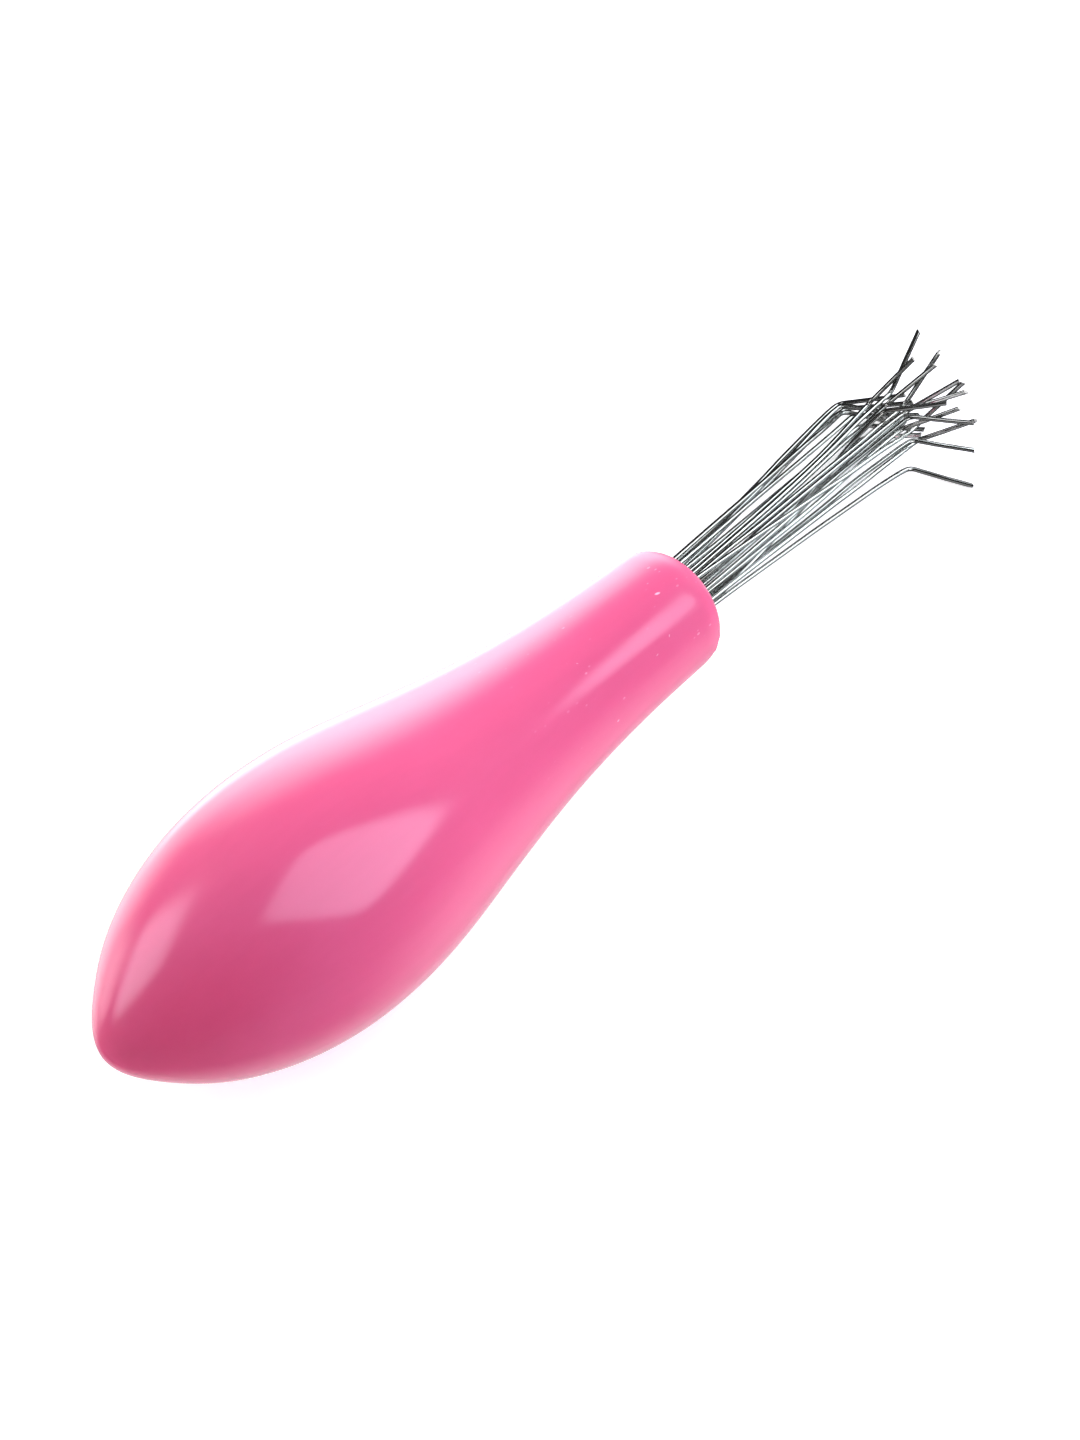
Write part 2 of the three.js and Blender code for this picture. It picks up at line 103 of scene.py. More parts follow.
# The tines' centre lines in the tool frame, mm: where each leaves the neck, points along
# the shank, the corner of the bend, and the cut end of the hook.
TINES = [
    [(75.122, 2.853, -1.324), (76.548, 2.930, -1.478), (77.974, 2.990, -1.633), (79.401, 3.055, -1.789), (80.827, 3.133, -1.945), (82.253, 3.214, -2.102), (83.679, 3.301, -2.261), (85.105, 3.400, -2.420), (86.532, 3.508, -2.579), (87.958, 3.646, -2.737), (89.384, 3.791, -2.894), (90.810, 3.939, -3.050), (92.236, 4.092, -3.206), (93.662, 4.268, -3.362), (95.089, 4.445, -3.520), (96.515, 4.598, -3.678), (97.941, 4.746, -3.835), (99.367, 4.888, -3.983), (100.793, 5.021, -4.115), (102.220, 5.146, -4.232), (103.646, 5.246, -4.339), (105.072, 5.263, -4.440), (109.397, 1.880, -0.868)],
    [(75.122, 2.254, -0.811), (76.524, 2.338, -0.970), (77.927, 2.420, -1.129), (79.329, 2.516, -1.288), (80.732, 2.634, -1.445), (82.134, 2.757, -1.602), (83.536, 2.884, -1.757), (84.939, 3.012, -1.911), (86.341, 3.141, -2.066), (87.743, 3.271, -2.221), (89.146, 3.401, -2.378), (90.548, 3.533, -2.536), (91.951, 3.676, -2.695), (93.353, 3.830, -2.853), (94.755, 3.985, -3.011), (96.158, 4.145, -3.168), (97.560, 4.309, -3.322), (98.962, 4.486, -3.459), (100.365, 4.676, -3.548), (101.767, 4.844, -3.564), (103.170, 4.965, -3.519), (104.572, 5.006, -3.444), (108.521, 0.480, -1.908)],
    [(75.122, 1.964, -2.327), (76.591, 2.036, -2.474), (78.060, 2.110, -2.622), (79.529, 2.195, -2.769), (80.998, 2.303, -2.917), (82.467, 2.418, -3.064), (83.936, 2.536, -3.212), (85.405, 2.664, -3.359), (86.874, 2.807, -3.507), (88.343, 2.954, -3.654), (89.812, 3.102, -3.802), (91.282, 3.252, -3.949), (92.751, 3.411, -4.097), (94.220, 3.583, -4.244), (95.689, 3.754, -4.392), (97.158, 3.909, -4.539), (98.627, 4.056, -4.687), (100.096, 4.201, -4.834), (101.565, 4.343, -4.982), (103.034, 4.469, -5.129), (104.503, 4.528, -5.277), (105.972, 4.456, -5.424), (110.203, 0.790, -1.744)],
    [(75.122, 3.129, 0.485), (76.548, 3.256, 0.278), (77.974, 3.317, 0.071), (79.401, 3.375, -0.136), (80.827, 3.432, -0.343), (82.253, 3.489, -0.549), (83.679, 3.538, -0.756), (85.105, 3.586, -0.963), (86.532, 3.633, -1.169), (87.958, 3.682, -1.376), (89.384, 3.735, -1.582), (90.810, 3.791, -1.788), (92.236, 3.848, -1.993), (93.662, 3.908, -2.197), (95.089, 3.975, -2.400), (96.515, 4.041, -2.602), (97.941, 4.101, -2.808), (99.367, 4.142, -3.042), (100.793, 4.175, -3.345), (102.220, 4.239, -3.737), (103.646, 4.334, -4.195), (105.072, 4.405, -4.687), (109.019, -0.378, -3.576)],
    [(75.122, 2.594, -0.097), (76.539, 2.625, -0.254), (77.955, 2.653, -0.411), (79.372, 2.688, -0.568), (80.789, 2.725, -0.725), (82.205, 2.765, -0.881), (83.622, 2.811, -1.038), (85.039, 2.859, -1.195), (86.455, 2.908, -1.352), (87.872, 2.955, -1.509), (89.289, 2.996, -1.665), (90.705, 3.033, -1.822), (92.122, 3.068, -1.979), (93.539, 3.104, -2.135), (94.955, 3.140, -2.292), (96.372, 3.177, -2.449), (97.789, 3.215, -2.605), (99.205, 3.254, -2.762), (100.622, 3.302, -2.919), (102.039, 3.353, -3.075), (103.455, 3.408, -3.232), (104.872, 3.476, -3.388), (108.644, -0.508, 0.003)],
    [(75.122, 1.433, 0.511), (76.539, 1.460, 0.496), (77.955, 1.490, 0.481), (79.372, 1.530, 0.466), (80.789, 1.572, 0.451), (82.205, 1.621, 0.436), (83.622, 1.678, 0.421), (85.039, 1.736, 0.406), (86.455, 1.796, 0.391), (87.872, 1.859, 0.376), (89.289, 1.925, 0.361), (90.705, 1.993, 0.346), (92.122, 2.064, 0.331), (93.539, 2.142, 0.316), (94.955, 2.233, 0.302), (96.372, 2.338, 0.287), (97.789, 2.487, 0.272), (99.205, 2.650, 0.257), (100.622, 2.832, 0.242), (102.039, 3.026, 0.227), (103.455, 3.213, 0.212), (104.872, 3.391, 0.197), (108.843, 4.050, 5.172)],
    [(75.122, 1.086, 1.232), (76.624, 1.127, 1.276), (78.127, 1.176, 1.321), (79.629, 1.233, 1.366), (81.132, 1.289, 1.411), (82.634, 1.342, 1.456), (84.136, 1.395, 1.501), (85.639, 1.450, 1.547), (87.141, 1.513, 1.593), (88.643, 1.587, 1.641), (90.146, 1.673, 1.692), (91.648, 1.765, 1.745), (93.151, 1.871, 1.803), (94.653, 1.987, 1.863), (96.155, 2.108, 1.926), (97.658, 2.240, 1.982), (99.160, 2.390, 2.014), (100.662, 2.544, 2.003), (102.165, 2.664, 1.950), (103.667, 2.744, 1.869), (105.170, 2.811, 1.771), (106.672, 2.857, 1.664), (110.997, 5.825, 5.587)],
    [(75.122, 0.822, -0.006), (76.543, 0.852, 0.097), (77.965, 0.885, 0.200), (79.386, 0.928, 0.302), (80.808, 0.973, 0.405), (82.229, 1.016, 0.507), (83.651, 1.057, 0.610), (85.072, 1.098, 0.711), (86.493, 1.141, 0.813), (87.915, 1.193, 0.913), (89.336, 1.254, 1.012), (90.758, 1.328, 1.109), (92.179, 1.410, 1.204), (93.601, 1.512, 1.296), (95.022, 1.616, 1.387), (96.443, 1.719, 1.481), (97.865, 1.813, 1.586), (99.286, 1.884, 1.722), (100.708, 1.949, 1.907), (102.129, 2.037, 2.135), (103.551, 2.130, 2.390), (104.972, 2.208, 2.656), (108.549, 2.258, 7.842)],
    [(75.122, 1.897, -1.530), (76.548, 1.903, -1.624), (77.974, 1.909, -1.719), (79.401, 1.915, -1.814), (80.827, 1.923, -1.909), (82.253, 1.932, -2.004), (83.679, 1.947, -2.099), (85.105, 1.970, -2.194), (86.532, 1.994, -2.289), (87.958, 2.020, -2.383), (89.384, 2.049, -2.478), (90.810, 2.078, -2.573), (92.236, 2.108, -2.668), (93.662, 2.137, -2.763), (95.089, 2.165, -2.858), (96.515, 2.191, -2.953), (97.941, 2.216, -3.047), (99.367, 2.240, -3.142), (100.793, 2.264, -3.237), (102.220, 2.283, -3.332), (103.646, 2.280, -3.427), (105.072, 2.183, -3.522), (108.295, -1.953, -0.307)],
    [(75.122, -1.947, -0.679), (76.472, -1.869, -0.502), (77.822, -1.785, -0.324), (79.172, -1.670, -0.147), (80.522, -1.544, 0.028), (81.872, -1.404, 0.202), (83.222, -1.255, 0.373), (84.572, -1.086, 0.541), (85.922, -0.888, 0.706), (87.272, -0.676, 0.870), (88.622, -0.458, 1.037), (89.972, -0.243, 1.213), (91.322, -0.030, 1.397), (92.672, 0.197, 1.584), (94.022, 0.439, 1.769), (95.372, 0.691, 1.952), (96.722, 0.963, 2.140), (98.072, 1.243, 2.356), (99.422, 1.472, 2.623), (100.772, 1.655, 2.935), (102.122, 1.796, 3.270), (103.472, 1.883, 3.613), (106.921, -1.291, 7.747)],
    [(75.122, -0.394, -0.600), (76.548, -0.367, -0.800), (77.974, -0.339, -1.001), (79.401, -0.304, -1.201), (80.827, -0.263, -1.401), (82.253, -0.220, -1.601), (83.679, -0.175, -1.802), (85.105, -0.128, -2.002), (86.532, -0.081, -2.202), (87.958, -0.034, -2.402), (89.384, 0.013, -2.603), (90.810, 0.060, -2.803), (92.236, 0.106, -3.003), (93.662, 0.146, -3.203), (95.089, 0.188, -3.404), (96.515, 0.261, -3.604), (97.941, 0.367, -3.804), (99.367, 0.502, -4.004), (100.793, 0.674, -4.205), (102.220, 0.855, -4.405), (103.646, 1.045, -4.605), (105.072, 1.237, -4.805), (107.601, -2.159, -0.345)],
    [(75.122, 0.693, 1.933), (76.605, 0.701, 1.933), (78.089, 0.721, 1.934), (79.572, 0.762, 1.936), (81.055, 0.796, 1.945), (82.539, 0.791, 1.969), (84.022, 0.780, 2.018), (85.505, 0.778, 2.087), (86.989, 0.793, 2.167), (88.472, 0.814, 2.251), (89.955, 0.835, 2.337), (91.439, 0.854, 2.426), (92.922, 0.872, 2.518), (94.405, 0.889, 2.616), (95.889, 0.899, 2.716), (97.372, 0.896, 2.805), (98.855, 0.906, 2.857), (100.339, 0.952, 2.861), (101.822, 1.002, 2.832), (103.305, 1.030, 2.784), (104.789, 1.046, 2.724), (106.272, 1.090, 2.657), (110.171, 2.979, 7.368)],
    [(75.122, -2.215, 0.804), (76.591, -2.122, 0.855), (78.060, -2.015, 0.906), (79.529, -1.876, 0.958), (80.998, -1.729, 1.018), (82.467, -1.580, 1.089), (83.936, -1.410, 1.168), (85.405, -1.225, 1.258), (86.874, -1.028, 1.368), (88.343, -0.817, 1.512), (89.812, -0.613, 1.681), (91.282, -0.420, 1.855), (92.751, -0.241, 2.029), (94.220, -0.100, 2.202), (95.689, 0.005, 2.376), (97.158, 0.078, 2.552), (98.627, 0.140, 2.730), (100.096, 0.192, 2.910), (101.565, 0.246, 3.090), (103.034, 0.320, 3.272), (104.503, 0.415, 3.453), (105.972, 0.498, 3.635), (108.827, -1.614, 8.717)],
    [(75.122, 0.085, 1.188), (76.558, 0.119, 1.395), (77.993, 0.150, 1.602), (79.429, 0.166, 1.807), (80.865, 0.187, 2.005), (82.301, 0.238, 2.190), (83.736, 0.293, 2.351), (85.172, 0.342, 2.490), (86.608, 0.376, 2.618), (88.043, 0.404, 2.743), (89.479, 0.429, 2.869), (90.915, 0.449, 2.995), (92.351, 0.469, 3.122), (93.786, 0.488, 3.249), (95.222, 0.507, 3.378), (96.658, 0.525, 3.507), (98.093, 0.541, 3.637), (99.529, 0.553, 3.768), (100.965, 0.563, 3.898), (102.401, 0.566, 4.029), (103.836, 0.552, 4.160), (105.272, 0.477, 4.292), (108.288, -0.376, 9.699)],
    [(75.122, -0.848, 1.631), (76.534, -0.828, 1.716), (77.946, -0.803, 1.800), (79.358, -0.773, 1.885), (80.770, -0.740, 1.969), (82.182, -0.700, 2.053), (83.593, -0.659, 2.137), (85.005, -0.620, 2.220), (86.417, -0.578, 2.302), (87.829, -0.523, 2.382), (89.241, -0.461, 2.462), (90.653, -0.398, 2.542), (92.065, -0.329, 2.628), (93.477, -0.256, 2.738), (94.889, -0.186, 2.893), (96.301, -0.151, 3.094), (97.712, -0.150, 3.320), (99.124, -0.140, 3.558), (100.536, -0.122, 3.798), (101.948, -0.103, 4.039), (103.360, -0.087, 4.279), (104.772, -0.080, 4.517), (108.401, -4.412, 6.980)],
    [(75.122, -1.151, 0.866), (76.529, -1.149, 1.000), (77.936, -1.146, 1.135), (79.343, -1.143, 1.270), (80.751, -1.140, 1.405), (82.158, -1.134, 1.541), (83.565, -1.127, 1.677), (84.972, -1.121, 1.810), (86.379, -1.118, 1.926), (87.786, -1.112, 2.011), (89.193, -1.095, 2.058), (90.601, -1.060, 2.081), (92.008, -1.020, 2.096), (93.415, -0.973, 2.113), (94.822, -0.906, 2.132), (96.229, -0.831, 2.154), (97.636, -0.747, 2.178), (99.043, -0.668, 2.203), (100.451, -0.616, 2.229), (101.858, -0.571, 2.257), (103.265, -0.541, 2.284), (104.672, -0.568, 2.312), (108.246, -2.506, 7.124)],
    [(75.122, 0.565, 2.723), (76.624, 0.502, 2.762), (78.127, 0.420, 2.801), (79.629, 0.334, 2.840), (81.132, 0.247, 2.880), (82.634, 0.158, 2.921), (84.136, 0.067, 2.963), (85.639, -0.029, 3.006), (87.141, -0.129, 3.052), (88.643, -0.230, 3.100), (90.146, -0.332, 3.152), (91.648, -0.434, 3.204), (93.151, -0.548, 3.239), (94.653, -0.664, 3.231), (96.155, -0.754, 3.173), (97.658, -0.813, 3.078), (99.160, -0.872, 2.960), (100.662, -0.943, 2.828), (102.165, -1.039, 2.688), (103.667, -1.170, 2.557), (105.170, -1.243, 2.461), (106.672, -1.169, 2.408), (109.820, -0.763, 7.792)],
    [(75.122, -1.546, -1.372), (76.529, -1.560, -1.194), (77.936, -1.576, -1.017), (79.343, -1.596, -0.840), (80.751, -1.618, -0.664), (82.158, -1.641, -0.487), (83.565, -1.663, -0.311), (84.972, -1.684, -0.136), (86.379, -1.700, 0.039), (87.786, -1.711, 0.213), (89.193, -1.720, 0.386), (90.601, -1.725, 0.559), (92.008, -1.720, 0.731), (93.415, -1.710, 0.904), (94.822, -1.690, 1.080), (96.229, -1.662, 1.261), (97.636, -1.669, 1.450), (99.043, -1.709, 1.642), (100.451, -1.761, 1.837), (101.858, -1.812, 2.031), (103.265, -1.872, 2.224), (104.672, -2.005, 2.417), (108.842, -6.547, 3.435)],
    [(75.122, -1.925, 1.550), (76.586, -1.932, 1.556), (78.051, -1.940, 1.562), (79.515, -1.952, 1.567), (80.979, -1.966, 1.566), (82.443, -1.985, 1.555), (83.908, -2.005, 1.537), (85.372, -2.028, 1.519), (86.836, -2.051, 1.503), (88.301, -2.075, 1.488), (89.765, -2.098, 1.476), (91.229, -2.121, 1.464), (92.693, -2.144, 1.454), (94.158, -2.175, 1.442), (95.622, -2.218, 1.426), (97.086, -2.265, 1.403), (98.551, -2.278, 1.375), (100.015, -2.279, 1.344), (101.479, -2.294, 1.312), (102.943, -2.313, 1.280), (104.408, -2.331, 1.249), (105.872, -2.364, 1.218), (109.484, -4.362, 5.978)],
    [(75.122, -2.369, 0.019), (76.548, -2.396, -0.061), (77.974, -2.426, -0.141), (79.401, -2.467, -0.221), (80.827, -2.521, -0.301), (82.253, -2.580, -0.381), (83.679, -2.641, -0.461), (85.105, -2.702, -0.541), (86.532, -2.763, -0.621), (87.958, -2.824, -0.701), (89.384, -2.885, -0.781), (90.810, -2.949, -0.861), (92.236, -3.022, -0.941), (93.662, -3.101, -1.021), (95.089, -3.182, -1.101), (96.515, -3.263, -1.180), (97.941, -3.344, -1.260), (99.367, -3.427, -1.340), (100.793, -3.517, -1.419), (102.220, -3.636, -1.499), (103.646, -3.778, -1.579), (105.072, -4.001, -1.658), (108.610, -9.167, -0.330)],
]
WIRE_R = 0.235
BURIED = 11.5
BEND_R = 1.3


# ---------------------------------------------------------------- mesh helpers
def new_mesh(name, verts_mm, faces, mats, face_mat=None, attrs=None, uv=None):
    """A mesh object in the row frame. Its tool-frame place is kept in the attribute tool_co, in metres."""
    verts_mm = np.asarray(verts_mm, float)
    me = bpy.data.meshes.new(name)
    me.from_pydata([tuple(v) for v in to_row(verts_mm)], [], faces)
    me.update()
    a = me.attributes.new("tool_co", "FLOAT_VECTOR", "POINT")
    a.data.foreach_set("vector", (verts_mm * 0.001).astype(np.float32).ravel())
    for key, val in (attrs or {}).items():
        val = np.asarray(val, np.float32)
        if val.ndim == 2:
            b = me.attributes.new(key, "FLOAT_VECTOR", "POINT")
            b.data.foreach_set("vector", val.ravel())
        else:
            b = me.attributes.new(key, "FLOAT", "POINT")
            b.data.foreach_set("value", val)
    if uv is not None:
        layer = me.uv_layers.new(name="UVMap")
        uv = np.asarray(uv, float)
        for poly in me.polygons:
            ring = [uv[v] for v in poly.vertices]
            us = [q[0] for q in ring]
            wrap = max(us) - min(us) > 0.5
            for li, q in zip(poly.loop_indices, ring):
                u = q[0] + (1.0 if wrap and q[0] < 0.5 else 0.0)
                layer.data[li].uv = (u, q[1])
    for m in mats:
        me.materials.append(m)
    if face_mat is not None:
        for poly, k in zip(me.polygons, face_mat):
            poly.material_index = k
    for poly in me.polygons:
        poly.use_smooth = True
    bm = bmesh.new()
    bm.from_mesh(me)
    bmesh.ops.recalc_face_normals(bm, faces=bm.faces)
    bm.to_mesh(me)
    bm.free()
    ob = bpy.data.objects.new(name, me)
    bpy.context.scene.collection.objects.link(ob)
    return ob


def sharpen(ob, degrees):
    """Marks edges sharper than the angle, so that smooth shading stops there."""
    bm = bmesh.new()
    bm.from_mesh(ob.data)
    limit = math.radians(degrees)
    for e in bm.edges:
        if len(e.link_faces) == 2 and e.calc_face_angle(0.0) > limit:
            e.smooth = False
    bm.to_mesh(ob.data)
    bm.free()


def value_noise(p, seed):
    """Smooth noise of -1..1 on points p, one lattice cell per unit."""
    rng = np.random.default_rng(seed)
    table = rng.uniform(-1, 1, 4096)
    p = np.asarray(p, float)
    i = np.floor(p).astype(int)
    f = p - i
    w = f * f * (3 - 2 * f)
    out = np.zeros(len(p))
    for dx in (0, 1):
        for dy in (0, 1):
            for dz in (0, 1):
                h = (
                    (i[:, 0] + dx) * 73856093
                    ^ (i[:, 1] + dy) * 19349663
                    ^ (i[:, 2] + dz) * 83492791
                ) & 4095
                wt = (
                    (w[:, 0] if dx else 1 - w[:, 0])
                    * (w[:, 1] if dy else 1 - w[:, 1])
                    * (w[:, 2] if dz else 1 - w[:, 2])
                )
                out += wt * table[h]
    return out


# ---------------------------------------------------------------- node helpers
def material(name):
    m = bpy.data.materials.new(name)
    m.use_nodes = True
    nt = m.node_tree
    nt.nodes.clear()
    out = nt.nodes.new("ShaderNodeOutputMaterial")
    bsdf = nt.nodes.new("ShaderNodeBsdfPrincipled")
    nt.links.new(bsdf.outputs[0], out.inputs[0])
    return m, nt, bsdf


def attr(nt, name):
    n = nt.nodes.new("ShaderNodeAttribute")
    n.attribute_name = name
    return n.outputs["Vector"]


def mapping(nt, vec, scale=(1, 1, 1), loc=(0, 0, 0), rot=(0, 0, 0)):
    n = nt.nodes.new("ShaderNodeMapping")
    n.inputs["Scale"].default_value = scale
    n.inputs["Location"].default_value = loc
    n.inputs["Rotation"].default_value = rot
    nt.links.new(vec, n.inputs["Vector"])
    return n.outputs[0]


def noise(nt, vec, scale, detail=2.0, rough=0.5, distortion=0.0):
    n = nt.nodes.new("ShaderNodeTexNoise")
    n.inputs["Scale"].default_value = scale
    n.inputs["Detail"].default_value = detail
    n.inputs["Roughness"].default_value = rough
    n.inputs["Distortion"].default_value = distortion
    nt.links.new(vec, n.inputs["Vector"])
    return n.outputs[0]


def ramp(nt, fac, stops, mode="LINEAR"):
    n = nt.nodes.new("ShaderNodeValToRGB")
    n.color_ramp.interpolation = mode
    el = n.color_ramp.elements
    while len(el) < len(stops):
        el.new(0.5)
    for e, (pos, col) in zip(el, stops):
        e.position = pos
        e.color = (col, col, col, 1) if isinstance(col, (int, float)) else (*col, 1)
    nt.links.new(fac, n.inputs[0])
    return n.outputs[0]


def math_node(nt, op, a, b=None, clamp=False):
    n = nt.nodes.new("ShaderNodeMath")
    n.operation = op
    n.use_clamp = clamp
    for i, v in enumerate((a, b)):
        if v is None:
            continue
        if isinstance(v, (int, float)):
            n.inputs[i].default_value = v
        else:
            nt.links.new(v, n.inputs[i])
    return n.outputs[0]


def mix_rgb(nt, fac, a, b, mode="MIX"):
    n = nt.nodes.new("ShaderNodeMix")
    n.data_type = "RGBA"
    n.blend_type = mode
    ins = [s for s in n.inputs if s.enabled]
    f = n.inputs[0]
    A = n.inputs[6]
    Bs = n.inputs[7]
    if isinstance(fac, (int, float)):
        f.default_value = fac
    else:
        nt.links.new(fac, f)
    for s, v in ((A, a), (Bs, b)):
        if isinstance(v, tuple):
            s.default_value = (*v, 1)
        else:
            nt.links.new(v, s)
    return n.outputs[2]


def map_range(nt, v, a, b, c, d):
    n = nt.nodes.new("ShaderNodeMapRange")
    n.clamp = True
    nt.links.new(v, n.inputs[0])
    for i, q in enumerate((a, b, c, d)):
        n.inputs[1 + i].default_value = q
    return n.outputs[0]


def bump(nt, bsdf, height, strength, distance, normal=None):
    n = nt.nodes.new("ShaderNodeBump")
    n.inputs["Strength"].default_value = strength
    n.inputs["Distance"].default_value = distance
    nt.links.new(height, n.inputs["Height"])
    if normal is not None:
        nt.links.new(normal, n.inputs["Normal"])
    nt.links.new(n.outputs[0], bsdf.inputs["Normal"])
    return n.outputs[0]


def separate(nt, vec):
    n = nt.nodes.new("ShaderNodeSeparateXYZ")
    nt.links.new(vec, n.inputs[0])
    return n.outputs


# ---------------------------------------------------------------- materials
PINK = (0.81, 0.121, 0.265)


# short scuffs: place in the tool frame, mm; turn about the view across the neck; half length and half width, mm; paleness
SCRATCHES = [
    ((69.5, 1.66, 6.23), -0.25, 0.36, 0.13, 0.85),
    ((67.7, -2.1, 6.2), 0.9, 0.17, 0.07, 0.45),
    ((65.5, -2.8, 6.1), 0.2, 0.20, 0.06, 0.35),
    ((57.6, 1.2, 7.1), -0.7, 0.16, 0.08, 0.30),
]


def pink_plastic():
    m, nt, b = material("pink_plastic")
    co = attr(nt, "tool_co")
    # slow drift of the moulded colour, and faint flow streaks along the handle
    slow = noise(nt, mapping(nt, co, (45, 90, 90)), 1.0, 2, 0.5)
    flow = noise(nt, mapping(nt, co, (90, 700, 700)), 1.0, 3, 0.6)
    tone = math_node(nt, "ADD", math_node(nt, "MULTIPLY", slow, 0.65), math_node(nt, "MULTIPLY", flow, 0.35))
    lo = tuple(c * 0.965 for c in PINK)
    hi = (min(PINK[0] * 1.03, 1), PINK[1] * 1.06, PINK[2] * 1.05)
    base = mix_rgb(nt, ramp(nt, tone, [(0.3, 0.0), (0.7, 1.0)]), lo, hi)
    # painted shade: the base colour is darkened over a patch of the butt that lies in shade
    butt_shade_place = nt.nodes.new("ShaderNodeMapping")
    butt_shade_place.vector_type = "TEXTURE"
    butt_shade_place.inputs["Location"].default_value = (0.006, -0.0024, 0.007)
    butt_shade_place.inputs["Scale"].default_value = (0.014, 0.0065, 0.012)
    nt.links.new(co, butt_shade_place.inputs["Vector"])
    butt_shade_reach = nt.nodes.new("ShaderNodeVectorMath")
    butt_shade_reach.operation = "LENGTH"
    nt.links.new(butt_shade_place.outputs[0], butt_shade_reach.inputs[0])
    base = mix_rgb(nt, map_range(nt, butt_shade_reach.outputs["Value"], 0.3, 1.05, 1.0, 0.0), base, (1.0, 0.80, 0.85), "MULTIPLY")
    # pale specks and short scuffs of polishing dust, thicker towards the neck
    sep = separate(nt, co)
    near = map_range(nt, sep[0], 0.044, 0.062, 0.0, 1.0)
    v = nt.nodes.new("ShaderNodeTexVoronoi")
    v.inputs["Scale"].default_value = 1.0
    v.inputs["Randomness"].default_value = 1.0
    nt.links.new(mapping(nt, co, (760, 1450, 1450), rot=(0.0, 0.35, 0.5)), v.inputs["Vector"])
    speck = ramp(nt, v.outputs["Distance"], [(0.0, 1.0), (0.10, 1.0), (0.19, 0.0)])
    pick = ramp(nt, noise(nt, co, 420, 1, 0.5), [(0.54, 0.0), (0.68, 1.0)])
    dust = math_node(nt, "MULTIPLY", math_node(nt, "MULTIPLY", speck, pick), near)
    base = mix_rgb(nt, math_node(nt, "MULTIPLY", dust, 0.55), base, (0.98, 0.42, 0.60))
    # short scratches with pale raised lips, near the mouth of the neck
    for at, turn, long, wide, pale in SCRATCHES:
        to = nt.nodes.new("ShaderNodeMapping")
        to.vector_type = "TEXTURE"
        to.inputs["Location"].default_value = tuple(c * 0.001 for c in at)
        to.inputs["Rotation"].default_value = (0.0, 0.0, turn)
        to.inputs["Scale"].default_value = (long * 0.001, wide * 0.001, 0.0006)
        nt.links.new(co, to.inputs["Vector"])
        far = nt.nodes.new("ShaderNodeVectorMath")
        far.operation = "LENGTH"
        nt.links.new(to.outputs[0], far.inputs[0])
        mark = ramp(nt, far.outputs["Value"], [(0.0, 1.0), (0.55, 0.9), (1.0, 0.0)])
        base = mix_rgb(nt, math_node(nt, "MULTIPLY", mark, pale), base, (1.0, 0.66, 0.80))
        dust = math_node(nt, "MAXIMUM", dust, math_node(nt, "MULTIPLY", mark, pale))
    nt.links.new(base, b.inputs["Base Color"])
    rough = map_range(nt, noise(nt, co, 260, 4, 0.6), 0.3, 0.7, 0.10, 0.14)
    # the end of the neck is rubbed dull by hair and wires
    rough = math_node(nt, "ADD", rough, map_range(nt, sep[0], 0.0660, 0.0735, 0.0, 0.12))
    rough = math_node(nt, "ADD", rough, math_node(nt, "MULTIPLY", dust, 0.3))
    nt.links.new(rough, b.inputs["Roughness"])
    b.inputs["IOR"].default_value = 1.5
    b.inputs["Subsurface Weight"].default_value = 0.12
    b.inputs["Subsurface Radius"].default_value = (1.0, 0.35, 0.5)
    b.inputs["Subsurface Scale"].default_value = 0.0016
    peel = math_node(nt, "ADD", math_node(nt, "MULTIPLY", noise(nt, co, 170, 2, 0.5), 1.0), math_node(nt, "MULTIPLY", noise(nt, co, 1500, 2, 0.6), 0.10))
    peel = math_node(nt, "ADD", peel, math_node(nt, "MULTIPLY", dust, 0.25))
    bump(nt, b, peel, 0.10, 0.00012)
    return m


def wire_steel():
    m, nt, b = material("tine_steel")
    co = attr(nt, "wire_co")  # (cos, sin) round the wire, and the length along it in mm / 10
    tool = attr(nt, "tool_co")
    # drawing lines: long streaks that follow the wire
    streak = noise(nt, mapping(nt, co, (1.6, 1.6, 0.12)), 1.0, 2, 0.5)
    fine = noise(nt, mapping(nt, co, (4.5, 4.5, 0.35)), 1.0, 2, 0.5)
    patch = noise(nt, mapping(nt, tool, (110, 300, 300)), 1.0, 3, 0.55)
    s = math_node(nt, "ADD", math_node(nt, "MULTIPLY", streak, 0.7), math_node(nt, "MULTIPLY", fine, 0.3))
    tone = ramp(nt, s, [(0.34, (0.30, 0.29, 0.28)), (0.42, (0.64, 0.65, 0.65)), (0.60, (0.86, 0.88, 0.88))])
    warm = ramp(nt, patch, [(0.50, 0.0), (0.70, 1.0)])
    tone = mix_rgb(nt, math_node(nt, "MULTIPLY", warm, 0.40), tone, (0.30, 0.24, 0.19), "MIX")
    nt.links.new(tone, b.inputs["Base Color"])
    b.inputs["Metallic"].default_value = 1.0
    nt.links.new(map_range(nt, fine, 0.3, 0.7, 0.08, 0.17), b.inputs["Roughness"])
    bump(nt, b, s, 0.05, 0.00003)
    return m


def cut_steel():
    m, nt, b = material("cut_steel")
    tool = attr(nt, "tool_co")
    n1 = noise(nt, mapping(nt, tool, (9000, 2500, 2500)), 1.0, 3, 0.6)
    nt.links.new(mix_rgb(nt, n1, (0.62, 0.60, 0.58), (0.92, 0.91, 0.90)), b.inputs["Base Color"])
    b.inputs["Metallic"].default_value = 0.85
    nt.links.new(map_range(nt, n1, 0.3, 0.7, 0.35, 0.5), b.inputs["Roughness"])
    bump(nt, b, n1, 0.5, 0.00003)
    return m


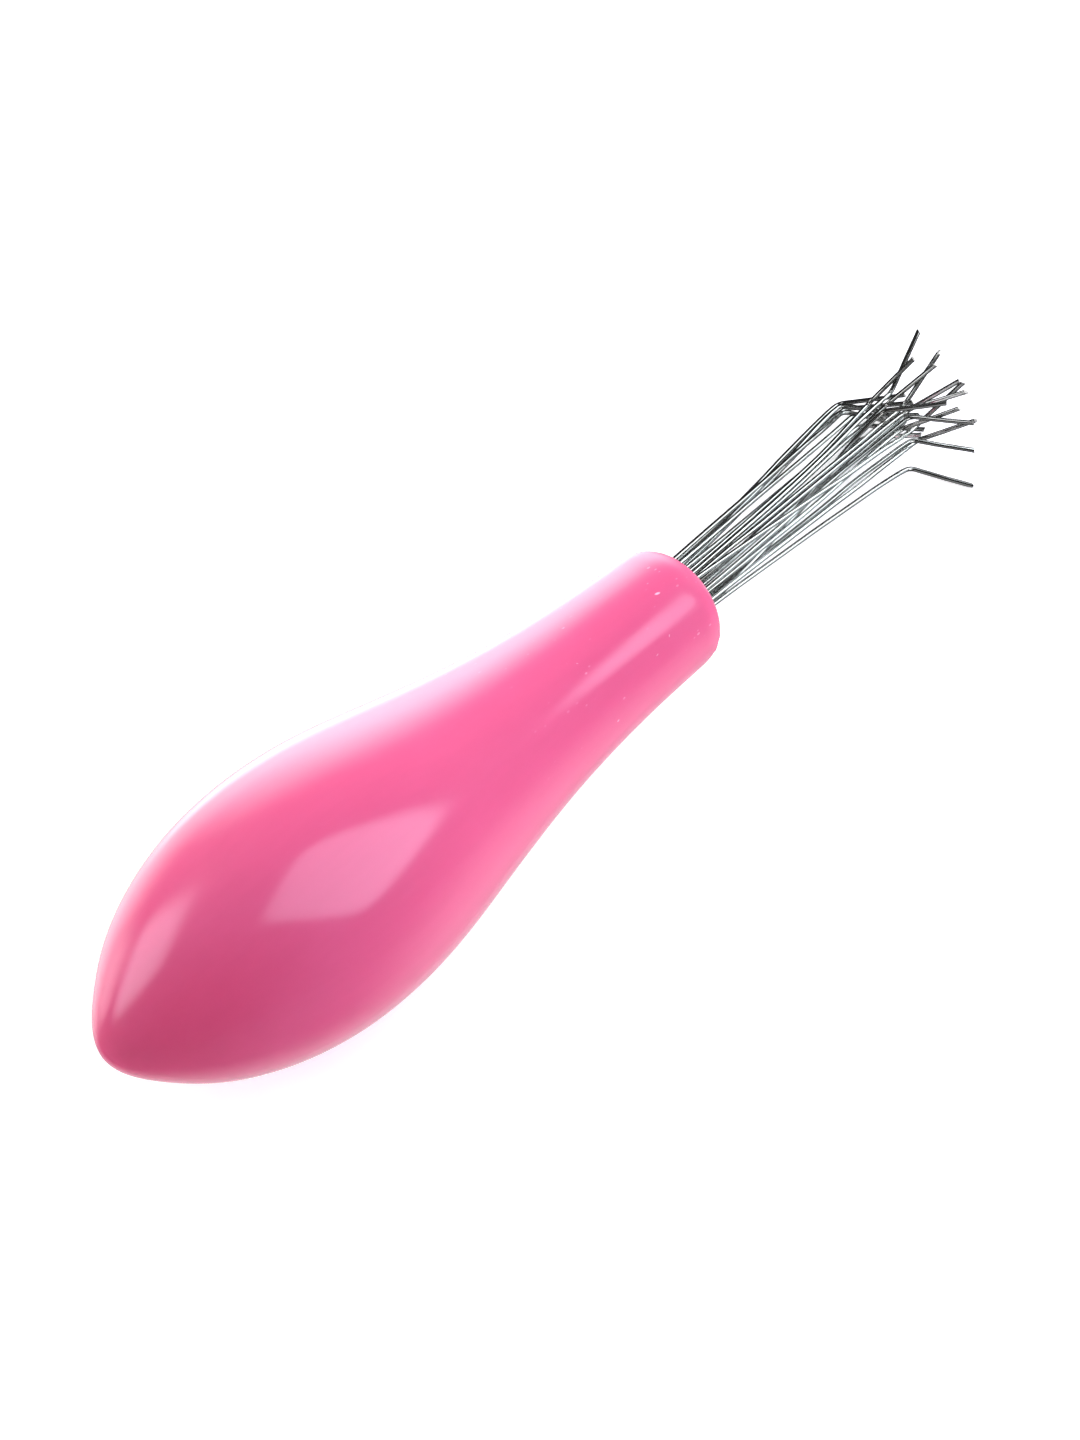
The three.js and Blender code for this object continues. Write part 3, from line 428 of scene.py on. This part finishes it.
def adhesive():
    m, nt, b = material("cured_adhesive")
    tool = attr(nt, "tool_co")
    n1 = noise(nt, tool, 700, 3, 0.55)
    n2 = noise(nt, tool, 2600, 2, 0.5)
    nt.links.new(mix_rgb(nt, n1, (0.52, 0.07, 0.16), (0.74, 0.15, 0.27)), b.inputs["Base Color"])
    nt.links.new(map_range(nt, n2, 0.3, 0.7, 0.16, 0.34), b.inputs["Roughness"])
    b.inputs["Subsurface Weight"].default_value = 0.25
    b.inputs["Subsurface Radius"].default_value = (1.0, 0.3, 0.4)
    b.inputs["Subsurface Scale"].default_value = 0.001
    bump(nt, b, n2, 0.2, 0.00005)
    return m


MAT_PINK = pink_plastic()
MAT_WIRE = wire_steel()
MAT_CUT = cut_steel()
MAT_GLUE = adhesive()


# ---------------------------------------------------------------- handle
def make_handle():
    seg = 224
    tip = np.array([0.0, 0.12, 0.3, 0.5, 0.75, 1.05, 1.4, 1.8]) ** 2 / KNOTS[0, 2]
    xs = np.concatenate([tip, 0.72 + (NECK_FROM - 0.72) * (np.linspace(0, 1, 128) ** 1.35)])
    xs = np.sort(np.concatenate([xs, NECK_FROM - np.array([0.15, 0.32, 0.52])]))
    prof = [(x, float(r)) for x, r in zip(xs, outline_r(xs))]
    prof[0] = (0.0, 0.0)
    rn = prof[-1][1]
    # the rounding goes on from the slope that the outline has there
    lean = math.atan(float(outline_r(NECK_FROM - 0.05) - outline_r(NECK_FROM + 0.05)) / 0.1)
    for a in np.linspace(lean, EASE_TO, 9)[1:]:
        prof.append((NECK_FROM + EASE * (math.sin(a) - math.sin(lean)), rn - EASE * (math.cos(lean) - math.cos(a))))
    cx = prof[-1][0] - ROUND * math.sin(EASE_TO)
    cr = prof[-1][1] - ROUND * math.cos(EASE_TO)
    for a in np.linspace(EASE_TO, ROUND_TO, 21)[1:]:
        prof.append((cx + ROUND * math.sin(a), cr + ROUND * math.cos(a)))
    sx = cx + (ROUND - SMALL) * math.sin(ROUND_TO)
    sr = cr + (ROUND - SMALL) * math.cos(ROUND_TO)
    for a in np.linspace(ROUND_TO, math.pi / 2, 6)[1:]:
        prof.append((sx + SMALL * math.sin(a), sr + SMALL * math.cos(a)))
    end = prof[-1][0]
    flat_r = prof[-1][1]
    for r in np.linspace(flat_r, BORE + BORE_EDGE, 4)[1:]:
        prof.append((end, float(r)))
    for a in np.linspace(0, math.pi / 2, 5)[1:]:
        prof.append((end - BORE_EDGE + BORE_EDGE * math.cos(a), BORE + BORE_EDGE - BORE_EDGE * math.sin(a)))
    for x in np.linspace(end - BORE_EDGE, end - BORE_DEPTH, 12)[1:]:
        prof.append((float(x), BORE))
    for t in np.linspace(0, 1, 5)[1:-1]:
        prof.append((end - BORE_DEPTH - 1.6 * t, BORE * (1 - t)))
    last = (end - BORE_DEPTH - 1.6, 0.0)
    verts = [(0.0, 0.0, 0.0)]
    ring0 = []
    ang = 2 * np.pi * np.arange(seg) / seg
    for x, r in prof[1:]:
        ring0.append(len(verts))
        for a in ang:
            verts.append((x, r * math.cos(a), r * math.sin(a)))
    tip = len(verts)
    verts.append((last[0], 0.0, 0.0))
    faces = []
    for k in range(seg):
        faces.append((0, ring0[0] + k, ring0[0] + (k + 1) % seg)[::-1])
    for q in range(len(ring0) - 1):
        a0, b0 = ring0[q], ring0[q + 1]
        for k in range(seg):
            k1 = (k + 1) % seg
            faces.append((a0 + k, b0 + k, b0 + k1, a0 + k1))
    for k in range(seg):
        faces.append((ring0[-1] + k, tip, ring0[-1] + (k + 1) % seg))
    v = np.array(verts)
    # the moulding's slight unevenness, under two hundredths of a millimetre
    r = np.hypot(v[:, 1], v[:, 2])
    outside = (v[:, 0] < end - 0.02) & (r > BORE + 0.4)
    wob = 0.5 * value_noise(v / 9.0, SEED) + 0.5 * value_noise(v / 4.5 + 7, SEED + 1)
    amp = 0.012 * outside
    with np.errstate(divide="ignore", invalid="ignore"):
        radial = np.where(r[:, None] > 1e-6, v[:, 1:] / np.maximum(r, 1e-6)[:, None], 0)
    v[:, 1:] += radial * (amp * wob)[:, None]
    # a small flash nick on the shoulder of the neck
    nick = np.array([NICK_AT])
    dist = np.linalg.norm(v - nick, axis=1)
    push = -0.10 * np.exp(-((dist / 0.45) ** 2)) + 0.07 * np.exp(-(((dist - 0.8) / 0.25) ** 2))
    v[:, 1:] += radial * (push * outside)[:, None]
    v[:, 0] = np.minimum(v[:, 0], end)
    ob = new_mesh("handle_moulding", v, faces, [MAT_PINK])
    return ob, end


NICK_AT = (73.6, -5.2, 2.0)
handle, NECK_END = make_handle()
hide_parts("handle")
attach(handle, "root")


# ---------------------------------------------------------------- tines
def smooth_line(points, per):
    """A smooth curve through points (uniform Catmull-Rom), per samples a span."""
    p = np.asarray(points, float)
    ext = np.vstack([2 * p[0] - p[1], p, 2 * p[-1] - p[-2]])
    out = []
    for i in range(len(p) - 1):
        p0, p1, p2, p3 = ext[i : i + 4]
        for t in np.linspace(0, 1, per, endpoint=False):
            out.append(
                0.5
                * (
                    2 * p1
                    + (p2 - p0) * t
                    + (2 * p0 - 5 * p1 + 4 * p2 - p3) * t * t
                    + (3 * p1 - p0 - 3 * p2 + p3) * t**3
                )
            )
    out.append(p[-1])
    return np.array(out)


def tine_path(points, rng):
    p = np.array(points, float)
    corner, tip, prev = p[-2], p[-1], p[-3]
    back = (prev - corner) / np.linalg.norm(prev - corner)
    out = (tip - corner) / np.linalg.norm(tip - corner)
    half = math.acos(float(np.clip(back @ out, -1, 1))) / 2
    set_back = BEND_R / math.tan(half)
    mid = back + out
    centre = corner + mid / np.linalg.norm(mid) * BEND_R / math.sin(half)
    f = corner + back * set_back - centre
    g = corner + out * set_back - centre
    turn = math.acos(float(np.clip(f @ g / np.linalg.norm(f) / np.linalg.norm(g), -1, 1)))
    shank = smooth_line(np.vstack([p[:-2], [corner + back * set_back]]), 3)
    buried = [np.array([x, p[0][1], p[0][2]]) for x in np.linspace(p[0][0] - BURIED, p[0][0], 5)[:-1]]
    arc = [
        centre + f * math.sin((1 - s) * turn) / math.sin(turn) + g * math.sin(s * turn) / math.sin(turn)
        for s in np.linspace(0, 1, 13)[1:]
    ]
    start = arc[-1]
    hook = [start + (tip - start) * s for s in np.linspace(0, 1, 14)[1:]]
    # the hook isn't quite straight: a hair of curl towards its end
    curl = np.cross(out, np.cross(back, out))
    curl /= np.linalg.norm(curl)
    L = np.linalg.norm(tip - start)
    for i, h in enumerate(hook):
        s = np.linalg.norm(h - start) / L
        hook[i] = h + curl * 0.05 * math.sin(math.pi * s) * rng.uniform(0.4, 1.0)
    return np.array(buried + list(shank) + arc + hook)


def make_tine(name, points, index):
    rng = np.random.default_rng(SEED + 100 + index)
    line = tine_path(points, rng)
    # drop points that crowd each other
    keep = [0]
    for i in range(1, len(line)):
        if np.linalg.norm(line[i] - line[keep[-1]]) > 0.02 or i == len(line) - 1:
            keep.append(i)
    line = line[keep]
    n = len(line)
    sides = 16
    seg = np.diff(line, axis=0)
    length = np.concatenate([[0], np.cumsum(np.linalg.norm(seg, axis=1))])
    d = seg / np.linalg.norm(seg, axis=1)[:, None]
    tan = np.vstack([d[:1], d[:-1] + d[1:], d[-1:]])
    tan /= np.linalg.norm(tan, axis=1)[:, None]
    u = np.cross([0.0, 0.0, 1.0], tan[0])
    u /= np.linalg.norm(u)
    phase = rng.uniform(0, 2 * math.pi)
    verts, wire_co, uv = [], [], []
    # the end is sheared: the cut leans, one side is drawn out into a burr
    lean = rng.uniform(0.15, 0.55)
    lean_at = rng.uniform(0, 2 * math.pi)
    burr = rng.uniform(0.03, 0.14)
    total = length[-1]
    t_prev = tan[0]
    for i in range(n):
        t = tan[i]
        axis = np.cross(t_prev, t)
        s = np.linalg.norm(axis)
        if s > 1e-9:
            axis /= s
            c = float(np.clip(t_prev @ t, -1, 1))
            u = u * c + np.cross(axis, u) * s + axis * (axis @ u) * (1 - c)
        u -= t * (u @ t)
        u /= np.linalg.norm(u)
        v = np.cross(t, u)
        t_prev = t
        to_end = total - length[i]
        for k in range(sides):
            a = 2 * math.pi * k / sides
            r = WIRE_R
            # squeezed a little by the shear blades in the last half millimetre
            near = math.exp(-((to_end / 0.22) ** 2))
            r *= 1 + near * 0.10 * math.cos(2 * (a - lean_at))
            slide = 0.0
            if to_end < 0.75:
                w = 1 - to_end / 0.75
                slide = w * (lean * WIRE_R * math.cos(a - lean_at))
                slide += w * burr * math.exp(-(((math.cos((a - lean_at) / 2)) ** 2 - 1) / 0.12) ** 2)
            q = line[i] + (u * math.cos(a) + v * math.sin(a)) * r + t * slide
            verts.append(q)
            wire_co.append((math.cos(a + phase) + index * 3.1, math.sin(a + phase) + index * 1.7, length[i] / 10 + index * 5.3))
            uv.append((k / sides, length[i] / 60))
    faces, mat = [], []
    for i in range(n - 1):
        for k in range(sides):
            k1 = (k + 1) % sides
            a, b = i * sides + k, i * sides + k1
            faces.append((a, b, b + sides, a + sides))
            mat.append(0)
    faces.append(tuple(range(sides))[::-1])
    mat.append(1)
    # the cut face, slightly domed, with its own ring of vertices inside the edge
    e = (n - 1) * sides
    ends = np.array(verts[e : e + sides])
    cen = ends.mean(0)
    base = len(verts)
    for k in range(sides):
        verts.append(cen + (ends[k] - cen) * 0.6 + tan[-1] * 0.012)
        wire_co.append(wire_co[e + k])
        uv.append(uv[e + k])
    verts.append(cen + tan[-1] * 0.02)
    wire_co.append(wire_co[e])
    uv.append(uv[e])
    for k in range(sides):
        k1 = (k + 1) % sides
        faces.append((e + k, e + k1, base + k1, base + k))
        mat.append(1)
        faces.append((base + k, base + k1, base + sides))
        mat.append(1)
    ob = new_mesh(name, verts, faces, [MAT_WIRE, MAT_CUT], mat, {"wire_co": np.array(wire_co)}, uv)
    sharpen(ob, 48)
    return ob


tine_objects = []
for i, points in enumerate(TINES):
    ob = make_tine("tine_%02d_steel" % (i + 1), points, i)
    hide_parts("wire_tine_%02d" % (i + 1))
    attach(ob, "root")
    tine_objects.append(ob)


# ---------------------------------------------------------------- adhesive
def make_adhesive():
    """The adhesive's free face climbs a little up each wire and up the bore's wall."""
    face_x = NECK_END - 0.30
    roots = np.array([t[0] for t in TINES])[:, 1:]
    R = BORE - 0.005
    seg, rings = 120, 44
    verts = [(0.0, 0.0, 0.0)]
    for q in range(1, rings + 1):
        r = R * (q / rings) ** 0.9
        for k in range(seg):
            a = 2 * math.pi * k / seg
            verts.append((0.0, r * math.cos(a), r * math.sin(a)))
    v = np.array(verts)
    dist = np.min(np.linalg.norm(v[:, None, 1:] - roots[None], axis=2), axis=1)
    rr = np.hypot(v[:, 1], v[:, 2])
    rise = 0.26 * np.exp(-np.maximum(dist - WIRE_R, 0) / 0.16) + 0.16 * np.exp(-(R - rr) / 0.2)
    lump = 0.06 * value_noise(v / 0.9 + 3, SEED + 50)
    v[:, 0] = np.minimum(face_x + rise + lump, NECK_END - 0.05)
    faces = []
    for k in range(seg):
        faces.append((0, 1 + k, 1 + (k + 1) % seg))
    for q in range(rings - 1):
        a0, b0 = 1 + q * seg, 1 + (q + 1) * seg
        for k in range(seg):
            k1 = (k + 1) % seg
            faces.append((a0 + k, b0 + k, b0 + k1, a0 + k1))
    rim = 1 + (rings - 1) * seg
    vv = list(map(tuple, v))
    prev = rim
    for x in np.linspace(face_x - 0.6, face_x - 12.5, 6):
        base = len(vv)
        for k in range(seg):
            a = 2 * math.pi * k / seg
            vv.append((float(x), R * math.cos(a), R * math.sin(a)))
        for k in range(seg):
            k1 = (k + 1) % seg
            faces.append((prev + k, base + k, base + k1, prev + k1))
        prev = base
    faces.append(tuple(prev + k for k in range(seg))[::-1])
    ob = new_mesh("adhesive_fill", vv, faces, [MAT_GLUE])
    sharpen(ob, 60)
    return ob


glue = make_adhesive()
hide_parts("adhesive_plug")
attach(glue, "root")


# ---------------------------------------------------------------- floor, light, camera
def make_floor():
    me = bpy.data.meshes.new("table_top")
    n, size = 24, 1.6
    verts = [
        ((i / n - 0.5) * 2 * size, (j / n - 0.5) * 2 * size, 0.0)
        for j in range(n + 1)
        for i in range(n + 1)
    ]
    faces = [
        (j * (n + 1) + i, j * (n + 1) + i + 1, (j + 1) * (n + 1) + i + 1, (j + 1) * (n + 1) + i)
        for j in range(n)
        for i in range(n)
    ]
    me.from_pydata(verts, [], faces)
    me.update()
    m, nt, b = material("white_table")
    geo = nt.nodes.new("ShaderNodeNewGeometry")
    n1 = noise(nt, geo.outputs["Position"], 6, 2, 0.5)
    nt.links.new(mix_rgb(nt, n1, (0.90, 0.90, 0.90), (0.93, 0.93, 0.93)), b.inputs["Base Color"])
    b.inputs["Roughness"].default_value = 0.9
    b.inputs["Specular IOR Level"].default_value = 0.1
    b.inputs["Emission Color"].default_value = (1, 1, 1, 1)
    # the table brightens away from the tool, towards the paper behind it
    far = nt.nodes.new("ShaderNodeVectorMath")
    far.operation = "LENGTH"
    nt.links.new(geo.outputs["Position"], far.inputs[0])
    nt.links.new(map_range(nt, far.outputs["Value"], 0.22, 0.75, FLOOR_GLOW, 1.0), b.inputs["Emission Strength"])
    me.materials.append(m)
    ob = bpy.data.objects.new("table_top", me)
    bpy.context.scene.collection.objects.link(ob)
    ob.visible_glossy = False  # the steel mirrors the dark of the studio, not the white table
    return ob


def make_backdrop():
    """White paper that rises in a cove all round, far behind the tool; it neither lights it nor mirrors in it."""
    seg = 96
    line = [(1.30, 0.001)] + [(1.30 + 0.25 * math.sin(a), 0.251 - 0.25 * math.cos(a)) for a in np.linspace(0.1, math.pi / 2, 10)]
    line += [(1.55, z) for z in (0.6, 1.2, 2.0)]
    verts = [(r * math.cos(2 * math.pi * k / seg), r * math.sin(2 * math.pi * k / seg), z) for r, z in line for k in range(seg)]
    faces = [
        (q * seg + k, q * seg + (k + 1) % seg, (q + 1) * seg + (k + 1) % seg, (q + 1) * seg + k)
        for q in range(len(line) - 1)
        for k in range(seg)
    ]
    me = bpy.data.meshes.new("paper_backdrop")
    me.from_pydata(verts, [], faces)
    me.update()
    m, nt, b = material("white_paper")
    geo = nt.nodes.new("ShaderNodeNewGeometry")
    tone = noise(nt, geo.outputs["Position"], 3, 2, 0.5)
    nt.links.new(mix_rgb(nt, tone, (0.88, 0.88, 0.88), (0.92, 0.92, 0.92)), b.inputs["Base Color"])
    b.inputs["Roughness"].default_value = 0.9
    b.inputs["Emission Color"].default_value = (1, 1, 1, 1)
    nt.links.new(map_range(nt, tone, 0.2, 0.8, 0.96, 1.0), b.inputs["Emission Strength"])
    me.materials.append(m)
    ob = bpy.data.objects.new("paper_backdrop", me)
    bpy.context.scene.collection.objects.link(ob)
    for poly in me.polygons:
        poly.use_smooth = True
    ob.visible_glossy = False
    ob.visible_diffuse = False
    ob.visible_shadow = False


# name: (azimuth, elevation, distance m, width m, height m, turn deg, radiance, shape, what it does)
# The azimuth is measured from +X towards +Y. Each soft light faces the tool.
# shape: (roundness, soft edge, fade upwards, fade sideways)
# what it does: "plain" lights and mirrors in all but the steel, "fill" lights without a mirror image,
# "handle" and "tines" are cards that only mirror in the plastic or in the steel.
FLOOR_GLOW = 0.52
WORLD = 0.03
LIGHTS = {
    "key_softbox": (-43.0, 55.0, 0.25, 0.232, 0.338, -7.5, 3.75, (5.0, 0.28, 0.40, -0.25), "plain"),
    "butt_window": (125.5, 29.5, 0.60, 0.60, 0.54, 0.0, 3.9, (3.0, 0.60, 0.0, 0.0), "handle"),
    "back_sweep": (50.0, -2.0, 0.75, 1.20, 1.12, 0.0, 4.8, (2.0, 1.0, 0.0, 0.0), "handle"),
    "low_back": (90.0, -30.0, 0.75, 1.50, 1.06, 0.0, 2.0, (2.2, 0.9, 0.0, 0.0), "handle"),
    "tip_card": (118.0, -6.0, 0.75, 0.50, 0.56, 0.0, 1.9, (2.0, 0.8, 0.0, 0.0), "handle"),
    "rim_low": (32.0, -55.0, 0.75, 0.45, 0.45, 0.0, 1.3, (2.0, 1.0, 0.0, 0.0), "handle"),
    "rim_back": (56.0, -36.0, 0.75, 0.62, 0.44, 0.0, 2.4, (2.0, 0.9, 0.0, 0.0), "handle"),
    "low_front": (-50.0, -28.0, 0.75, 0.95, 0.95, 0.0, 0.95, (2.0, 0.95, 0.0, 0.0), "handle"),
    "below": (0.0, -80.0, 0.60, 1.70, 1.70, 0.0, 0.8, (2.0, 0.8, 0.0, 0.0), "handle"),
    "steel_key": (-25.0, 36.5, 0.80, 0.75, 0.72, 0.0, 3.15, (4.0, 0.25, 0.0, 0.0), "tines"),
    "steel_back": (172.0, 22.0, 0.80, 0.34, 0.30, 0.0, 1.7, (3.0, 0.4, 0.0, 0.0), "tines"),
    "steel_left": (-82.0, 22.0, 0.80, 0.42, 0.52, 0.0, 2.2, (3.0, 0.5, 0.0, 0.0), "tines"),
    "steel_right": (108.0, 34.0, 0.80, 0.46, 0.52, 0.0, 1.8, (3.0, 0.5, 0.0, 0.0), "tines"),
    "steel_end": (5.0, -5.0, 0.80, 0.62, 0.54, 0.0, 1.8, (3.0, 0.5, 0.0, 0.0), "tines"),
    "steel_top": (0.0, 88.0, 0.80, 0.34, 0.34, 0.0, 2.0, (3.0, 0.5, 0.0, 0.0), "tines"),
    "steel_low": (180.0, -14.0, 0.80, 0.80, 0.44, 0.0, 1.4, (3.0, 0.5, 0.0, 0.0), "tines"),
    "steel_side": (-52.0, -4.0, 0.80, 0.60, 0.60, 0.0, 0.70, (3.0, 0.6, 0.0, 0.0), "tines"),
    "steel_grey": (-150.0, 0.0, 0.80, 1.50, 1.30, 0.0, 0.50, (3.0, 0.7, 0.85, 0.0), "tines"),
    "side_fill": (0.0, 15.0, 0.90, 0.72, 0.36, 0.0, 6.0, (4.0, 0.3, 0.0, 0.0), "fill"),
    "back_fill": (62.0, 12.0, 0.90, 1.30, 0.50, 0.0, 9.0, (2.0, 0.9, 0.0, 0.0), "fill"),
    "high_back": (95.0, 40.0, 0.90, 1.10, 0.80, 0.0, 3.2, (2.0, 0.95, 0.0, 0.0), "fill"),
    "butt_fill": (142.0, 24.0, 0.90, 0.80, 0.60, 0.0, 7.6, (2.0, 0.9, 0.0, 0.0), "fill"),
    "front_fill": (-50.0, 14.0, 0.90, 0.90, 0.40, 0.0, 3.0, (2.0, 0.9, 0.0, 0.0), "fill"),
}
COOL = {
    "key_softbox": (0.97, 0.97, 1.2),
    "butt_window": (0.95, 0.97, 1.12),
    "back_sweep": (1.0, 0.98, 1.03),
    "steel_key": (0.95, 1.0, 1.02),
    "steel_side": (0.86, 1.0, 1.04),
}


def make_light(name, az, el, dist, w, h, turn, radiance, shape, lights):
    """A soft light as a glowing panel that fades towards its edges; the camera doesn't see it directly."""
    roundness, soft, fade_up, fade_side = shape
    a, e = math.radians(az), math.radians(el)
    direction = Vector((math.cos(a) * math.cos(e), math.sin(a) * math.cos(e), math.sin(e)))
    right = Vector((0, 0, 1)).cross(direction).normalized()
    up = direction.cross(right).normalized()
    m = Matrix((right, up, direction)).transposed().to_4x4() @ Matrix.Rotation(math.radians(turn), 4, "Z")
    m.translation = direction * dist + (Vector((-0.022, -0.004, 0.022)) if name == "key_softbox" else Vector((-0.01, 0, 0.012)))
    n = 28
    verts, glow = [], []
    for j in range(n + 1):
        for i in range(n + 1):
            x, y = 2 * i / n - 1, 2 * j / n - 1
            verts.append(m @ Vector((x * w / 2, y * h / 2, 0)))
            d = (abs(x) ** roundness + abs(y) ** roundness) ** (1 / roundness)
            t = min(max((1 - d) / soft, 0), 1)
            g = t * t * (3 - 2 * t)
            g *= (1 - fade_up * (y + 1) / 2) * (1 - fade_side * (x + 1) / 2)
            glow.append(max(g, 0.0))
    faces = [
        (j * (n + 1) + i, j * (n + 1) + i + 1, (j + 1) * (n + 1) + i + 1, (j + 1) * (n + 1) + i)
        for j in range(n)
        for i in range(n)
    ]
    me = bpy.data.meshes.new(name)
    me.from_pydata([tuple(v) for v in verts], [], faces)
    me.update()
    at = me.attributes.new("glow", "FLOAT", "POINT")
    at.data.foreach_set("value", np.array(glow, np.float32))
    mat = bpy.data.materials.new(name)
    mat.use_nodes = True
    nt = mat.node_tree
    nt.nodes.clear()
    out = nt.nodes.new("ShaderNodeOutputMaterial")
    em = nt.nodes.new("ShaderNodeEmission")
    em.inputs["Color"].default_value = (*COOL.get(name, (1, 1, 1)), 1)
    at_node = nt.nodes.new("ShaderNodeAttribute")
    at_node.attribute_name = "glow"
    k = nt.nodes.new("ShaderNodeMath")
    k.operation = "MULTIPLY"
    k.name = "radiance"
    k.inputs[1].default_value = radiance
    nt.links.new(at_node.outputs["Fac"], k.inputs[0])
    nt.links.new(k.outputs[0], em.inputs["Strength"])
    # clear where it doesn't glow, so that overlapping lights add up
    add = nt.nodes.new("ShaderNodeAddShader")
    clear = nt.nodes.new("ShaderNodeBsdfTransparent")
    nt.links.new(em.outputs[0], add.inputs[0])
    nt.links.new(clear.outputs[0], add.inputs[1])
    nt.links.new(add.outputs[0], out.inputs[0])
    me.materials.append(mat)
    ob = bpy.data.objects.new(name, me)
    bpy.context.scene.collection.objects.link(ob)
    ob.visible_camera = False
    ob.visible_shadow = False
    if lights == "fill":
        ob.visible_glossy = False
    else:
        ob.visible_diffuse = lights == "plain"
        ob.light_linking.receiver_collection = ONLY[lights]
    return ob


floor = make_floor()
make_backdrop()
ONLY = {"plain": [handle, glue, floor], "handle": [handle, glue], "tines": tine_objects}
for key, members in ONLY.items():
    ONLY[key] = bpy.data.collections.new("mirror_in_" + key)
    for ob in members:
        ONLY[key].objects.link(ob)
for key, spec in LIGHTS.items():
    make_light(key, *spec)

world = bpy.data.worlds.new("studio")
world.use_nodes = True
world.node_tree.nodes["Background"].inputs[0].default_value = (1, 1, 1, 1)
world.node_tree.nodes["Background"].inputs[1].default_value = WORLD
bpy.context.scene.world = world

bpy.context.scene.view_settings.view_transform = "Standard"
bpy.context.scene.view_settings.look = "None"
bpy.context.scene.view_settings.exposure = 0.0
bpy.context.scene.view_settings.gamma = 1.0

# The camera, given in the tool frame: its place in mm, and its right, up and backward axes.
CAM_AT = (-172.1088, -0.7260, 426.7522)
CAM_RIGHT = (0.69004162, -0.6238796, 0.36690164)
CAM_UP = (0.55085299, 0.78152047, 0.29289373)
CAM_BACK = (-0.46947156, 0.0, 0.88294759)
cam_data = bpy.data.cameras.new("camera")
cam_data.sensor_width = 36.0
cam_data.lens = 130.0
cam_data.clip_start, cam_data.clip_end = 0.01, 20
cam = bpy.data.objects.new("camera", cam_data)
axes = Matrix((CAM_RIGHT, CAM_UP, CAM_BACK)).transposed().to_4x4()
place = TURN @ axes
place.translation = TOOL @ (Vector(CAM_AT) * 0.001)
cam.matrix_world = place
bpy.context.scene.collection.objects.link(cam)
bpy.context.scene.camera = cam
